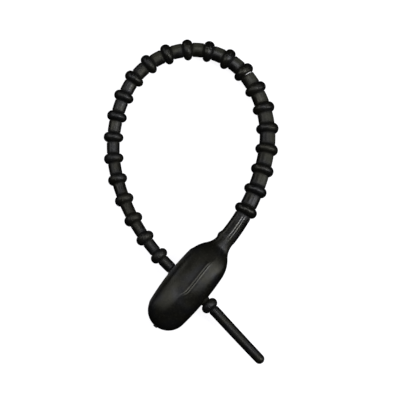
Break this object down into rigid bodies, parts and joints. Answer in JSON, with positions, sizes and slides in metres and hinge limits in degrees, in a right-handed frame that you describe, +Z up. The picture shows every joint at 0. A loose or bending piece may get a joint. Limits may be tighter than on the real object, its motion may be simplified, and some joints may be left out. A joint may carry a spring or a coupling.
{
  "type": "cable tie",
  "caption": "Soft silicone cable tie closed into a loop: a bead-shaped head, a tapering ringed strap drawn back through the head, and a plain tail.",
  "frame": {"origin": "on the resting plane, under the middle of the tie's bounding box", "axes": "+Y along the loop's long axis, away from the head; +X to the right, the side where the tail ends; +Z up, out of the plane that the tie lies on"},
  "size_m": [0.028, 0.0526, 0.0071],
  "materials": {
    "silicone": "satin black silicone rubber, slightly dusty"
  },
  "bodies": {
    "root": {"cable_tie": "silicone"}
  },
  "joints": []
}
